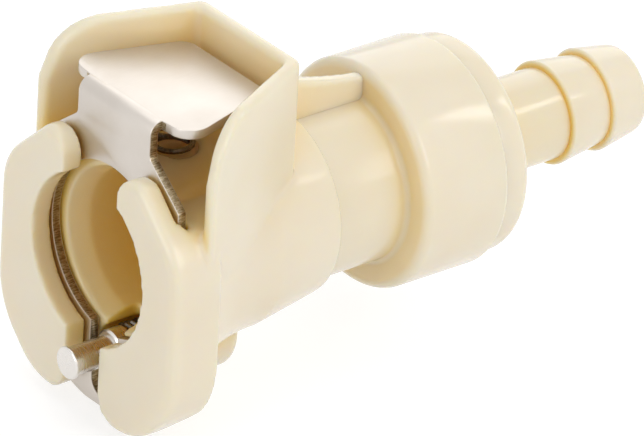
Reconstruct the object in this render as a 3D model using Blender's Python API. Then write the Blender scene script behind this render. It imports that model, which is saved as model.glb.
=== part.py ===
# Quick-disconnect coupling body with a thumb latch, a shut-off valve and an in-line hose barb.
# The coupling axis runs along +X from the mouth to the hose end, and the thumb pad faces +Z.
# Inside this file every place is measured from the front face of the plate, on the axis.

import math

import bmesh
import bpy
from mathutils import Matrix, Vector

mm = 0.001

# Clearances between separate pieces
seat_gap = 0.3 * mm
seam_gap = 0.1 * mm
guide_gap = 0.25 * mm
seal_gap = 0.05 * mm

# Front plate
plate_half_width = 14.2 * mm
plate_bottom = 15.7 * mm
front_wall = 2.3 * mm
back_wall = 1.2 * mm
lobe_top = 13.0 * mm
lobe_flat_end = 6.9 * mm
shoulder_height = 4.9 * mm
lower_corner_radius = 8.3 * mm
shoulder_radius = 6.2 * mm
plate_edge_radius = 1.0 * mm
lobe_corner_radius = 1.05 * mm
mouth_radius = 8.46 * mm
top_slot_half_width = 4.34 * mm
bottom_slot_half_width = 2.6 * mm
top_slot_corner = 1.9 * mm
bottom_slot_corner = 2.6 * mm

# Barrel, collar and bore
bore_radius = 7.6 * mm
bore_rim_radius = 8.0 * mm
bore_rim_depth = 1.2 * mm
flare_radius = 13.7 * mm
flare_length = 10.5 * mm
barrel_front_radius = 10.8 * mm
barrel_step_radius = 9.4 * mm
barrel_step = 23.3 * mm
rear_barrel_radius = 8.46 * mm
collar_start = 32.0 * mm
collar_end = 43.2 * mm
collar_radius = 11.7 * mm
collar_front_rounding = 1.3 * mm
collar_rear_rounding = 0.4 * mm

# Thumb guard
guard_back = 18.7 * mm
guard_back_half_width = 7.3 * mm
guard_top = 19.75 * mm
guard_flare = math.radians(24.7)
guard_drop = math.radians(3.4)
guard_wall = 1.4 * mm
guard_corner_radius = 1.8 * mm
guard_rim_rounding = 0.5 * mm
guard_brow = 7.3 * mm
guard_front_foot = 5.4 * mm
guard_front_radius = 5.6 * mm
well_radius = 9.9 * mm
well_floor = 7.5 * mm

# Rib between the guard and the collar
rib_thickness = 1.5 * mm
rib_front_height = 15.4 * mm
rib_middle_height = 12.3 * mm
rib_rear_height = 11.4 * mm

# Valve seat, valve chamber and counterbore
seat_start = 22.6 * mm
port_radius = 4.6 * mm
port_length = 1.6 * mm
chamber_radius = 6.7 * mm
counterbore_start = 33.4 * mm
counterbore_radius = 9.0 * mm

# Hose barb
flange_radius = 11.2 * mm
flange_end = 45.9 * mm
flange_rounding = 1.1 * mm
neck_radius = 4.9 * mm
neck_fillet = 0.8 * mm
first_ring = 56.0 * mm
first_ring_radius = 5.4 * mm
first_ring_root = 4.83 * mm
second_ring = 61.4 * mm
second_ring_radius = 5.3 * mm
ring_rounding = 0.35 * mm
tip_end = 69.5 * mm
tip_radius = 4.3 * mm
tip_rounding = 1.1 * mm
flow_radius = 3.1 * mm
spigot_radius = 8.7 * mm
spigot_bore_radius = 6.5 * mm
spigot_bore_end = 41.5 * mm
hub_start = 36.0 * mm
hub_length = 3.4 * mm
hub_radius = 4.6 * mm
hub_arms = 3
hub_arm_thickness = 1.2 * mm
seal_groove_start = 37.0 * mm
seal_groove_depth = 1.5 * mm
seal_wire_radius = 0.85 * mm

# Latch plate and thumb pad
latch_thickness = 1.0 * mm
latch_half_width = 10.4 * mm
latch_neck_half_width = 5.2 * mm
latch_shoulder_top = 12.9 * mm
latch_shoulder_end = 9.4 * mm
latch_tab_radius = 17.4 * mm
latch_tab_flat = 2.5 * mm
latch_hole_radius = 9.1 * mm
latch_hole_rise = 0.54 * mm
keyhole_half_width = 3.0 * mm
keyhole_shoulder = 12.65 * mm
keyway_half_width = 2.4 * mm
keyway_end = 15.5 * mm
pad_top = 16.8 * mm
pad_bend_radius = 1.4 * mm
pad_ear_half_width = 9.45 * mm
pad_ear_step = 0.05 * mm
pad_ear_radius = 2.4 * mm
pad_end = 15.4 * mm
pad_end_half_width = 6.1 * mm
pad_end_radius = 1.6 * mm

# Latch pin
pin_drop = 10.7 * mm
pin_reach = 2.0 * mm
pin_radius = 1.45 * mm
pin_collar_radius = 2.75 * mm
pin_collar_overlap = 0.35 * mm
pin_collar_length = 1.75 * mm
pin_tail_radius = 1.2 * mm
pin_tail_length = 4.5 * mm
pin_travel = 2.6 * mm
pin_chamber_radius = 3.05 * mm
pin_boss_wall = 1.5 * mm
pin_boss_end = 15.2 * mm

# Springs
pin_spring_wire = 0.45 * mm
pin_spring_radius = 1.9 * mm
pin_spring_turns = 7
pin_spring_end = 12.3 * mm
latch_spring_wire = 0.55 * mm
latch_spring_radius = 1.85 * mm
latch_spring_turns = 4
latch_spring_place = 10.0 * mm
latch_spring_foot = 9.2 * mm
valve_spring_wire = 0.7 * mm
valve_spring_radius = 3.6 * mm
valve_spring_turns = 4

# Valve poppet
poppet_head_radius = 5.7 * mm
poppet_head_length = 3.4 * mm
poppet_nose_radius = 2.2 * mm
poppet_nose_length = 5.6 * mm
poppet_stem_radius = 2.0 * mm
poppet_stem_length = 10.6 * mm
poppet_ring_wire_radius = 0.7 * mm
poppet_ring_radius = 4.7 * mm

# Facets round a full turn
round_steps = 48
small_round_steps = 24
coil_steps = 14
bend_steps = 8

# Places that follow from the sizes above
slot_start = front_wall
latch_front = front_wall + seat_gap
latch_back = latch_front + latch_thickness
slot_end = latch_back + seat_gap
plate_depth = slot_end + back_wall
slot_half_width = latch_half_width + seat_gap
pad_under = pad_top - latch_thickness
rest_height = math.sqrt(latch_tab_radius ** 2 - latch_tab_flat ** 2)
seat_end = seat_start + port_length
pin_collar_front = latch_back - pin_collar_overlap
pin_collar_back = pin_collar_front + pin_collar_length
pin_chamber_end = pin_collar_back + pin_travel + seat_gap
pin_boss_radius = pin_chamber_radius + pin_boss_wall

for old in list(bpy.data.objects):
    bpy.data.objects.remove(old, do_unlink=True)


def material(name, color, roughness, metallic=0.0):
    made = bpy.data.materials.new(name)
    made.use_nodes = True
    shader = made.node_tree.nodes["Principled BSDF"]
    shader.inputs["Base Color"].default_value = (*color, 1.0)
    shader.inputs["Roughness"].default_value = roughness
    shader.inputs["Metallic"].default_value = metallic
    return made


almond_plastic = material("almond_plastic", (0.80, 0.71, 0.54), 0.28)
valve_plastic = material("valve_plastic", (0.78, 0.70, 0.55), 0.35)
stainless = material("stainless_sheet", (0.80, 0.78, 0.75), 0.30, 1.0)
pin_steel = material("pin_steel", (0.78, 0.76, 0.72), 0.25, 1.0)
spring_steel = material("spring_steel", (0.45, 0.42, 0.38), 0.32, 1.0)
seal_rubber = material("seal_rubber", (0.03, 0.03, 0.03), 0.55)

# The whole coupling hangs on one empty at the front of its axis, so that the part's
# origin comes out under the middle of its box.
coupling_length = pin_reach + tip_end
axis_frame = bpy.data.objects.new("coupling_axis", None)
axis_frame.location = (pin_reach - coupling_length / 2, 0.0, rest_height)
bpy.context.collection.objects.link(axis_frame)


def place(name, mesh, surface=None, at=(0.0, 0.0, 0.0), smooth_angle=32.0):
    thing = bpy.data.objects.new(name, mesh)
    bpy.context.collection.objects.link(thing)
    thing.parent = axis_frame
    thing.location = at
    if surface:
        thing.data.materials.append(surface)
    else:
        thing.hide_render = True
        thing.display_type = "WIRE"
    mesh.shade_smooth()
    mesh.set_sharp_from_angle(angle=math.radians(smooth_angle))
    return thing


def mesh_from(bm, name):
    bmesh.ops.recalc_face_normals(bm, faces=bm.faces)
    if bm.calc_volume(signed=True) < 0:
        bmesh.ops.reverse_faces(bm, faces=bm.faces)
    mesh = bpy.data.meshes.new(name)
    bm.to_mesh(mesh)
    bm.free()
    return mesh


# A corner list holds (u, v, radius), and each corner with a radius becomes an arc.
def rounded(corners, step=math.radians(15)):
    points = []
    count = len(corners)
    for index, (u, v, radius) in enumerate(corners):
        here = Vector((u, v))
        if radius == 0:
            points.append(here)
            continue
        back = (Vector(corners[index - 1][:2]) - here).normalized()
        ahead = (Vector(corners[(index + 1) % count][:2]) - here).normalized()
        half = back.angle(ahead) / 2
        reach = radius / math.tan(half)
        centre = here + (back + ahead).normalized() * radius / math.sin(half)
        first = here + back * reach - centre
        last = here + ahead * reach - centre
        turn = first.angle_signed(last)
        steps = max(2, math.ceil(abs(turn) / step))
        for number in range(steps + 1):
            angle = -turn * number / steps
            points.append(centre + Matrix.Rotation(angle, 2) @ first)
    return points


def arc(centre, radius, start, end, steps):
    points = []
    for number in range(steps + 1):
        angle = start + (end - start) * number / steps
        points.append(Vector((centre[0] + radius * math.cos(angle), centre[1] + radius * math.sin(angle))))
    return points


# The three planes that an outline can be drawn in: (u, v) with the depth along the third axis.
def on_yz(u, v, depth):
    return (depth, u, v)


def on_xz(u, v, depth):
    return (u, depth, v)


def on_xy(u, v, depth):
    return (u, v, depth)


def prism(bm, outline, plane, start, end):
    ring = [bm.verts.new(plane(point[0], point[1], start)) for point in outline]
    face = bm.faces.new(ring)
    grown = bmesh.ops.extrude_face_region(bm, geom=[face])
    moved = [item for item in grown["geom"] if isinstance(item, bmesh.types.BMVert)]
    shift = Vector(plane(0.0, 0.0, end)) - Vector(plane(0.0, 0.0, start))
    bmesh.ops.translate(bm, verts=moved, vec=shift)


def prism_mesh(name, outline, plane, start, end):
    bm = bmesh.new()
    prism(bm, outline, plane, start, end)
    return mesh_from(bm, name)


# A turned piece: (x, radius) points from the axis back to the axis, or a closed ring.
def turn(bm, profile, closed=False, steps=round_steps):
    verts = [bm.verts.new((x, radius, 0.0)) for x, radius in profile]
    edges = [bm.edges.new(pair) for pair in zip(verts, verts[1:])]
    if closed:
        edges.append(bm.edges.new((verts[-1], verts[0])))
    bmesh.ops.spin(
        bm,
        geom=verts + edges,
        cent=(0.0, 0.0, 0.0),
        axis=(1.0, 0.0, 0.0),
        angle=math.tau,
        steps=steps,
        use_merge=True,
    )
    bmesh.ops.remove_doubles(bm, verts=bm.verts, dist=1e-7)


def turned_mesh(name, profile, closed=False, steps=round_steps):
    bm = bmesh.new()
    turn(bm, profile, closed, steps)
    return mesh_from(bm, name)


def combine(target, tool, operation):
    step = target.modifiers.new(tool.name, "BOOLEAN")
    step.operation = operation
    step.solver = "EXACT"
    step.object = tool


def cut(target, tool):
    combine(target, tool, "DIFFERENCE")


def add(target, tool):
    combine(target, tool, "UNION")


def bevel_edges(bm, edges, width, segments=2):
    bmesh.ops.bevel(
        bm,
        geom=edges,
        offset=width,
        offset_type="OFFSET",
        segments=segments,
        profile=0.5,
        affect="EDGES",
        clamp_overlap=True,
    )


# Front plate: one block, then an opening that leaves a lobe on each side of the mouth.

def plate():
    corners = [
        (plate_half_width, -plate_bottom, lower_corner_radius),
        (plate_half_width, shoulder_height, shoulder_radius),
        (lobe_flat_end, lobe_top, lobe_corner_radius),
        (-lobe_flat_end, lobe_top, lobe_corner_radius),
        (-plate_half_width, shoulder_height, shoulder_radius),
        (-plate_half_width, -plate_bottom, lower_corner_radius),
    ]
    bm = bmesh.new()
    prism(bm, rounded(corners), on_yz, 0.0, plate_depth)
    front = [edge for edge in bm.edges if max(abs(vert.co.x) for vert in edge.verts) < 1e-6]
    bevel_edges(bm, front, plate_edge_radius, 3)
    return place("plate_tool", mesh_from(bm, "plate_tool"))


# The opening's slots run out through the plate's edge in rounded corners.
def slot_side(half_width, edge, corner, turn_angle=math.radians(74), steps=6):
    centre = (half_width + corner, edge - corner)
    points = arc(centre, corner, math.pi, math.pi - turn_angle, steps)
    last = points[-1]
    run_out = corner
    last_direction = (math.sin(turn_angle), math.cos(turn_angle))
    points.append(Vector((last[0] + run_out * last_direction[0], last[1] + run_out * last_direction[1])))
    points.append(Vector((points[-1][0], edge + 2 * run_out)))
    return points


def mouth():
    slot_top = math.asin(top_slot_half_width / mouth_radius)
    slot_bottom = math.asin(bottom_slot_half_width / mouth_radius)
    side = arc((0.0, 0.0), mouth_radius, math.pi / 2 - slot_top, slot_bottom - math.pi / 2, 28)
    above = slot_side(top_slot_half_width, lobe_top, top_slot_corner)
    below = slot_side(bottom_slot_half_width, plate_bottom, bottom_slot_corner)
    right = list(reversed(above)) + side + [Vector((y, -z)) for y, z in below]
    left = [Vector((-y, z)) for y, z in reversed(right)]
    mesh = prism_mesh("mouth_tool", right + left, on_yz, -mm, (slot_start + slot_end) / 2)
    return place("mouth_tool", mesh)


# Barrel and collar: one turned form with a flare where it meets the plate.

def flare_profile(steps=6):
    points = []
    for number in range(steps + 1):
        share = number / steps
        x = slot_end + 0.2 * mm + flare_length * share
        radius = barrel_front_radius + (flare_radius - barrel_front_radius) * (1 - share) ** 2
        points.append((x, radius))
    return points


def barrel_mesh():
    step_edge = 0.6 * mm
    inside = slot_end + 0.2 * mm
    profile = [(inside, 0.0)] + flare_profile()
    profile += [
        (barrel_step - step_edge, barrel_step_radius + 0.1 * mm),
        (barrel_step - step_edge * 0.3, barrel_step_radius - 0.1 * mm),
        (barrel_step, rear_barrel_radius + 0.4 * mm),
        (barrel_step + step_edge * 0.5, rear_barrel_radius),
        (collar_start, rear_barrel_radius),
    ]
    centre = (collar_start + collar_front_rounding, collar_radius - collar_front_rounding)
    profile += arc(centre, collar_front_rounding, math.pi, math.pi / 2, 5)
    profile += [
        (collar_end - collar_rear_rounding, collar_radius),
        (collar_end, collar_radius - collar_rear_rounding),
        (collar_end, 0.0),
    ]
    return turned_mesh("coupling_body", [tuple(point) for point in profile])


# Thumb guard: a wall round three sides of the pad, with a sloping rim and curved front ends.

def guard_side(distance_out, back, front):
    slope = math.tan(guard_flare)
    rear_half = guard_back_half_width - distance_out / math.cos(guard_flare)
    rear_half += (guard_back - back) * slope
    return rear_half, rear_half + (back - front) * slope


def guard():
    front = slot_end
    outer_rear, outer_front = guard_side(0.0, guard_back, front)
    inner_back = guard_back - guard_wall
    inner_rear, inner_front = guard_side(guard_wall, inner_back, front)
    inner_corner = guard_corner_radius - guard_wall * 0.5
    plan = rounded([
        (front, outer_front, 0.0),
        (front, inner_front, 0.0),
        (inner_back, inner_rear, inner_corner),
        (inner_back, -inner_rear, inner_corner),
        (front, -inner_front, 0.0),
        (front, -outer_front, 0.0),
        (guard_back, -outer_rear, guard_corner_radius),
        (guard_back, outer_rear, guard_corner_radius),
    ], math.radians(18))
    walls = place("guard_tool", prism_mesh("guard_tool", plan, on_xy, 0.0, guard_top + mm))
    brow_height = guard_top - (guard_back - guard_brow) * math.tan(guard_drop)
    side = rounded([
        (front - mm, -mm, 0.0),
        (guard_back + mm, -mm, 0.0),
        (guard_back + mm, guard_top, 0.0),
        (guard_brow - 1.6 * mm, brow_height - 0.2 * mm, guard_front_radius),
        (front - 0.35 * mm, brow_height - 7.5 * mm, guard_front_radius),
        (front - mm, guard_front_foot, 0.0),
    ], math.radians(9))
    keep = place("guard_side_tool", prism_mesh("guard_side_tool", side, on_xz, -0.03, 0.03))
    combine(walls, keep, "INTERSECT")
    rim = walls.modifiers.new("rim", "BEVEL")
    rim.width = guard_rim_rounding
    rim.segments = 2
    rim.limit_method = "ANGLE"
    rim.angle_limit = math.radians(50)
    rim.use_clamp_overlap = False
    return walls


# The well between the guard's walls leaves a round floor over the bore.
def well():
    front = slot_end - mm
    inner_back = guard_back - guard_wall
    inner_rear, inner_front = guard_side(guard_wall, inner_back, front)
    inner_corner = guard_corner_radius - guard_wall * 0.5
    plan = rounded([
        (front, inner_front, 0.0),
        (inner_back, inner_rear, inner_corner),
        (inner_back, -inner_rear, inner_corner),
        (front, -inner_front, 0.0),
    ], math.radians(18))
    tool = place("well_tool", prism_mesh("well_tool", plan, on_xy, well_floor, guard_top + mm))
    floor = turned_mesh("well_floor_tool", [
        (front - mm, 0.0),
        (front - mm, well_radius),
        (guard_back, well_radius),
        (guard_back, 0.0),
    ])
    cut(tool, place("well_floor_tool", floor))
    return tool


def rib():
    steps = 8
    start = guard_back - guard_wall * 0.5
    end = collar_start + 0.6 * mm
    top = []
    for number in range(steps + 1):
        share = number / steps
        first = (1 - share) ** 2 * rib_front_height
        middle = 2 * share * (1 - share) * rib_middle_height
        last = share ** 2 * rib_rear_height
        top.append((start + (end - start) * share, first + middle + last))
    outline = [(start, rear_barrel_radius - 1.2 * mm)] + top + [(end, rear_barrel_radius - 1.2 * mm)]
    half = rib_thickness / 2
    return place("rib_tool", prism_mesh("rib_tool", outline, on_xz, -half, half))


def pin_boss():
    nose = pin_boss_radius * 0.75
    profile = [(slot_end + 0.3 * mm, 0.0), (slot_end + 0.3 * mm, pin_boss_radius)]
    for number in range(6):
        angle = math.pi / 2 * number / 6
        x = pin_boss_end - nose + nose * math.sin(angle)
        profile.append((x, pin_boss_radius * math.cos(angle)))
    profile.append((pin_boss_end, 0.0))
    mesh = turned_mesh("pin_boss_tool", profile, steps=small_round_steps)
    return place("pin_boss_tool", mesh, at=(0.0, 0.0, -pin_drop))


def bore():
    cone = chamber_radius - port_radius
    profile = [
        (slot_end - 0.2 * mm, 0.0),
        (slot_end - 0.2 * mm, bore_rim_radius),
        (slot_end + bore_rim_depth, bore_rim_radius),
        (slot_end + bore_rim_depth + 0.4 * mm, bore_radius),
        (seat_start - 1.4 * mm, bore_radius),
        (seat_start, bore_radius - 1.4 * mm),
        (seat_start, port_radius),
        (seat_end, port_radius),
        (seat_end + cone, chamber_radius),
        (counterbore_start, chamber_radius),
        (counterbore_start, counterbore_radius),
        (collar_end - 0.5 * mm, counterbore_radius),
        (collar_end + mm, counterbore_radius + 1.5 * mm),
        (collar_end + mm, 0.0),
    ]
    return place("bore_tool", turned_mesh("bore_tool", profile))


def latch_slot():
    reach = guard_top + mm
    outline = [
        (-slot_half_width, -reach),
        (slot_half_width, -reach),
        (slot_half_width, reach),
        (-slot_half_width, reach),
    ]
    return place("latch_slot_tool", prism_mesh("latch_slot_tool", outline, on_yz, slot_start, slot_end))


def pin_pocket():
    spring_room = pin_spring_radius + pin_spring_wire / 2 + seat_gap
    profile = [
        (slot_end - 0.2 * mm, 0.0),
        (slot_end - 0.2 * mm, pin_chamber_radius),
        (pin_chamber_end, pin_chamber_radius),
        (pin_chamber_end, spring_room),
        (pin_spring_end + seat_gap, spring_room),
        (pin_spring_end + seat_gap, 0.0),
    ]
    mesh = turned_mesh("pin_pocket_tool", profile, steps=small_round_steps)
    return place("pin_pocket_tool", mesh, at=(0.0, 0.0, -pin_drop))


# The pin's chamber opens into the bore, where the pin spring shows.
def pin_window():
    half = pin_chamber_radius * 0.55
    outline = [
        (-half, -pin_drop + pin_chamber_radius * 0.6),
        (half, -pin_drop + pin_chamber_radius * 0.6),
        (half, -bore_radius + mm),
        (-half, -bore_radius + mm),
    ]
    mesh = prism_mesh("pin_window_tool", outline, on_yz, slot_end - 0.3 * mm, pin_chamber_end - 0.2 * mm)
    return place("pin_window_tool", mesh)


def spring_pocket():
    radius = latch_spring_radius + latch_spring_wire / 2 + seat_gap
    floor = latch_spring_foot - seat_gap
    depth = guard_top - floor
    bm = bmesh.new()
    bmesh.ops.create_cone(
        bm,
        cap_ends=True,
        segments=small_round_steps,
        radius1=radius,
        radius2=radius,
        depth=depth,
        matrix=Matrix.Translation((0.0, 0.0, depth / 2)) @ Matrix.Rotation(math.pi / small_round_steps, 4, "Z"),
    )
    mesh = mesh_from(bm, "spring_pocket_tool")
    return place("spring_pocket_tool", mesh, at=(latch_spring_place, 0.0, floor))


def coupling_body():
    body = place("coupling_body", barrel_mesh(), almond_plastic)
    add(body, plate())
    add(body, guard())
    add(body, rib())
    add(body, pin_boss())
    cut(body, well())
    cut(body, bore())
    cut(body, mouth())
    cut(body, latch_slot())
    cut(body, pin_pocket())
    cut(body, pin_window())
    cut(body, spring_pocket())
    return body


# Hose barb: flange, neck and two rings outside, a spigot with a guide for the valve inside.

def barb_profile():
    start = counterbore_start + seat_gap
    seat = collar_end + seam_gap
    groove_end = seal_groove_start + 2 * seal_wire_radius + 0.4 * mm
    groove_floor = spigot_radius - seal_groove_depth
    profile = [
        (start, spigot_bore_radius),
        (start, spigot_radius - 0.5 * mm),
        (start + 0.5 * mm, spigot_radius),
        (seal_groove_start, spigot_radius),
        (seal_groove_start, groove_floor),
        (groove_end, groove_floor),
        (groove_end, spigot_radius),
        (seat, spigot_radius),
        (seat, flange_radius - 0.25 * mm),
        (seat + 0.25 * mm, flange_radius),
    ]
    centre = (flange_end - flange_rounding, flange_radius - flange_rounding)
    profile += arc(centre, flange_rounding, math.pi / 2, 0.0, 5)
    centre = (flange_end + neck_fillet, neck_radius + neck_fillet)
    profile += arc(centre, neck_fillet, math.pi, math.pi * 1.5, 4)
    profile += ring_profile(first_ring, first_ring_radius)
    profile += [(second_ring, first_ring_root)]
    profile += ring_profile(second_ring, second_ring_radius)
    centre = (tip_end - tip_rounding, tip_radius - tip_rounding)
    profile += arc(centre, tip_rounding, math.radians(80), 0.0, 5)
    profile += [
        (tip_end, flow_radius),
        (spigot_bore_end + 1.2 * mm, flow_radius),
        (spigot_bore_end, spigot_bore_radius),
    ]
    return [tuple(point) for point in profile]


def ring_profile(start, radius):
    centre = (start + ring_rounding, radius - ring_rounding)
    root = neck_radius if start == first_ring else first_ring_root
    points = [(start, root)] if start == first_ring else []
    return points + arc(centre, ring_rounding, math.pi, math.radians(84), 4)


def guide_hub():
    reach = poppet_stem_radius + guide_gap
    profile = [
        (hub_start, reach),
        (hub_start, hub_radius),
        (hub_start + hub_length, hub_radius),
        (hub_start + hub_length, reach),
    ]
    mesh = turned_mesh("guide_hub_tool", profile, closed=True, steps=small_round_steps)
    return place("guide_hub_tool", mesh)


def hub_arm(number):
    name = "hub_arm_tool_%d" % (number + 1)
    half = hub_arm_thickness / 2
    middle = (reach_of_stem() + hub_radius) / 2
    outline = [
        (-half, middle),
        (half, middle),
        (half, spigot_bore_radius + 0.6 * mm),
        (-half, spigot_bore_radius + 0.6 * mm),
    ]
    start = hub_start + 0.4 * mm
    arm = place(name, prism_mesh(name, outline, on_yz, start, hub_start + hub_length - 0.4 * mm))
    arm.rotation_euler = (math.tau * number / hub_arms, 0.0, 0.0)
    return arm


def reach_of_stem():
    return poppet_stem_radius + guide_gap


def hose_barb():
    mesh = turned_mesh("hose_barb", barb_profile(), closed=True)
    barb = place("hose_barb", mesh, almond_plastic)
    add(barb, guide_hub())
    for number in range(hub_arms):
        add(barb, hub_arm(number))
    return barb


# Latch: a flat blank with its pad, bent over the barrel, then the locking hole and keyhole.
# The blank is drawn in (y, s), where s runs up the middle of the sheet from the bend's start.

def latch_outline():
    bend_start = pad_top - pad_bend_radius
    side_foot = -math.sqrt(latch_tab_radius ** 2 - latch_half_width ** 2)
    tab_angle = math.asin(latch_tab_flat / latch_tab_radius)
    foot_angle = math.asin(latch_half_width / latch_tab_radius)
    pad_front = bend_length() + pad_ear_step
    pad_back = pad_end - latch_front - pad_bend_radius + bend_length()
    right = rounded([
        (pad_end_half_width, pad_back, pad_end_radius),
        (pad_ear_half_width, pad_front, pad_ear_radius),
        (latch_neck_half_width + 1.2 * mm, pad_front, 0.0),
        (latch_neck_half_width, bend_length() - pad_ear_step, 0.0),
        (latch_neck_half_width, latch_shoulder_top - bend_start, 0.9 * mm),
        (latch_half_width, latch_shoulder_end - bend_start, 0.5 * mm),
        (latch_half_width, side_foot - bend_start, 0.0),
        (0.0, side_foot - bend_start, 0.0),
        (0.0, pad_back, 0.0),
    ])[:-2]
    below = -math.pi / 2
    foot = arc((0.0, -bend_start), latch_tab_radius, below + foot_angle, below + tab_angle, 8)
    right += foot[1:]
    left = [Vector((-y, s)) for y, s in reversed(right)]
    return right + left


def bend_length():
    return math.pi / 2 * (pad_bend_radius - latch_thickness / 2)


def bend_over(bm):
    bend_start = pad_top - pad_bend_radius
    centre = latch_front + pad_bend_radius
    middle_radius = pad_bend_radius - latch_thickness / 2
    for vert in bm.verts:
        radius = latch_front + pad_bend_radius - vert.co.x
        height = vert.co.z
        if height <= 0:
            vert.co.z = bend_start + height
        elif height < bend_length():
            angle = height / middle_radius
            vert.co.x = centre - radius * math.cos(angle)
            vert.co.z = bend_start + radius * math.sin(angle)
        else:
            vert.co.x = centre + height - bend_length()
            vert.co.z = bend_start + radius


def blank_mesh():
    bm = bmesh.new()
    prism(bm, latch_outline(), on_yz, latch_front, latch_back)
    for number in range(bend_steps + 1):
        bmesh.ops.bisect_plane(
            bm,
            geom=bm.verts[:] + bm.edges[:] + bm.faces[:],
            plane_co=(0.0, 0.0, bend_length() * number / bend_steps),
            plane_no=(0.0, 0.0, 1.0),
            dist=1e-6,
        )
    bend_over(bm)
    return mesh_from(bm, "thumb_latch")


def keyhole_outline():
    mouth_angle = math.asin(keyhole_half_width / latch_hole_radius)
    below = -math.pi / 2
    hole = arc((0.0, latch_hole_rise), latch_hole_radius, below + mouth_angle, math.tau + below - mouth_angle, 60)
    end_centre = (0.0, -keyway_end + keyway_half_width)
    slot = [
        (-keyhole_half_width, -keyhole_shoulder + 0.3 * mm),
        (-keyway_half_width, -keyhole_shoulder - 0.3 * mm),
    ]
    slot += [tuple(point) for point in arc(end_centre, keyway_half_width, math.pi, math.tau, 12)]
    slot += [
        (keyway_half_width, -keyhole_shoulder - 0.3 * mm),
        (keyhole_half_width, -keyhole_shoulder + 0.3 * mm),
    ]
    return [tuple(point) for point in hole] + slot


def thumb_latch():
    latch = place("thumb_latch", blank_mesh(), stainless)
    hole = prism_mesh("latch_hole_tool", keyhole_outline(), on_yz, latch_front - mm, latch_back + mm)
    cut(latch, place("latch_hole_tool", hole))
    return latch


# Latch pin: its collar stands in the keyhole and holds the latch down until it is pushed back.

def latch_pin():
    rim = 0.2 * mm
    groove = pin_reach * 0.35
    profile = [
        (-pin_reach, 0.0),
        (-pin_reach, pin_radius - rim),
        (-pin_reach + rim, pin_radius),
        (-pin_reach + groove, pin_radius),
        (-pin_reach + groove + 0.1 * mm, pin_radius - 0.12 * mm),
        (-pin_reach + groove + 0.3 * mm, pin_radius - 0.12 * mm),
        (-pin_reach + groove + 0.4 * mm, pin_radius),
        (pin_collar_front, pin_radius),
        (pin_collar_front, pin_collar_radius - rim),
        (pin_collar_front + rim, pin_collar_radius),
        (pin_collar_back, pin_collar_radius),
        (pin_collar_back, pin_tail_radius),
        (pin_collar_back + pin_tail_length - rim, pin_tail_radius),
        (pin_collar_back + pin_tail_length, pin_tail_radius - rim),
        (pin_collar_back + pin_tail_length, 0.0),
    ]
    mesh = turned_mesh("latch_pin", profile, steps=small_round_steps)
    return place("latch_pin", mesh, pin_steel, at=(0.0, 0.0, -pin_drop))


# A compression spring along +X or +Z: two closed end turns, and an even pitch between them.

def coil(name, along, start, end, radius, wire, turns, at=(0.0, 0.0, 0.0)):
    curve = bpy.data.curves.new(name, "CURVE")
    curve.dimensions = "3D"
    curve.bevel_depth = wire / 2
    curve.bevel_resolution = 1
    curve.use_fill_caps = True
    count = round(turns * coil_steps)
    rise = end - start - wire
    closed_share = 1.0 / turns
    line = curve.splines.new("POLY")
    line.points.add(count)
    end_rise = wire * 1.15
    for number in range(count + 1):
        share = number / count
        if share < closed_share:
            height = end_rise * share / closed_share
        elif share > 1 - closed_share:
            height = rise - end_rise * (1 - share) / closed_share
        else:
            height = end_rise + (rise - 2 * end_rise) * (share - closed_share) / (1 - 2 * closed_share)
        angle = math.tau * turns * share
        side = radius * math.cos(angle)
        up = radius * math.sin(angle)
        level = start + wire / 2 + height
        place_of = (level, side, up) if along == "X" else (side, up, level)
        line.points[number].co = (*place_of, 1.0)
    thing = bpy.data.objects.new(name, curve)
    bpy.context.collection.objects.link(thing)
    thing.parent = axis_frame
    thing.location = at
    thing.data.materials.append(spring_steel)
    return thing


def springs():
    start = pin_collar_back + seat_gap
    coil("pin_spring", "X", start, pin_spring_end, pin_spring_radius, pin_spring_wire, pin_spring_turns,
         at=(0.0, 0.0, -pin_drop))
    coil("latch_spring", "Z", latch_spring_foot, pad_under - seat_gap, latch_spring_radius,
         latch_spring_wire, latch_spring_turns, at=(latch_spring_place, 0.0, 0.0))
    coil("valve_spring", "X", poppet_head_back() + seat_gap, hub_start - seat_gap,
         valve_spring_radius, valve_spring_wire, valve_spring_turns)


# Valve: the poppet closes the port from behind with its own ring.

def poppet_ring_place():
    rise = poppet_ring_radius - port_radius
    return seat_end + rise + (poppet_ring_wire_radius + seal_gap) * math.sqrt(2)


def poppet_head_front():
    return poppet_ring_place() - poppet_ring_wire_radius - 0.5 * mm


def poppet_head_back():
    return poppet_head_front() + poppet_head_length


def valve_poppet():
    front = poppet_head_front()
    back = poppet_head_back()
    ring = poppet_ring_place()
    groove_floor = poppet_ring_radius - poppet_ring_wire_radius - seal_gap
    groove_half = poppet_ring_wire_radius + seal_gap
    lip = port_radius - guide_gap - 0.15 * mm
    profile = [
        (front - poppet_nose_length, 0.0),
        (front - poppet_nose_length, poppet_nose_radius - 0.5 * mm),
        (front - poppet_nose_length + 0.5 * mm, poppet_nose_radius),
        (front - 1.2 * mm, poppet_nose_radius),
        (front, lip),
        (ring - groove_half, lip),
        (ring - groove_half, groove_floor),
        (ring + groove_half, groove_floor),
        (ring + groove_half, poppet_head_radius),
        (back - 0.4 * mm, poppet_head_radius),
        (back, poppet_head_radius - 0.4 * mm),
        (back, poppet_stem_radius),
        (back + poppet_stem_length - 0.4 * mm, poppet_stem_radius),
        (back + poppet_stem_length, poppet_stem_radius - 0.4 * mm),
        (back + poppet_stem_length, 0.0),
    ]
    return place("valve_poppet", turned_mesh("valve_poppet", profile, steps=round_steps), valve_plastic)


def seal_ring(name, x, radius, wire_radius):
    section = arc((x, radius), wire_radius, 0.0, math.tau, 8)[:-1]
    mesh = turned_mesh(name, [tuple(point) for point in section], closed=True, steps=round_steps)
    return place(name, mesh, seal_rubber)


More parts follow.
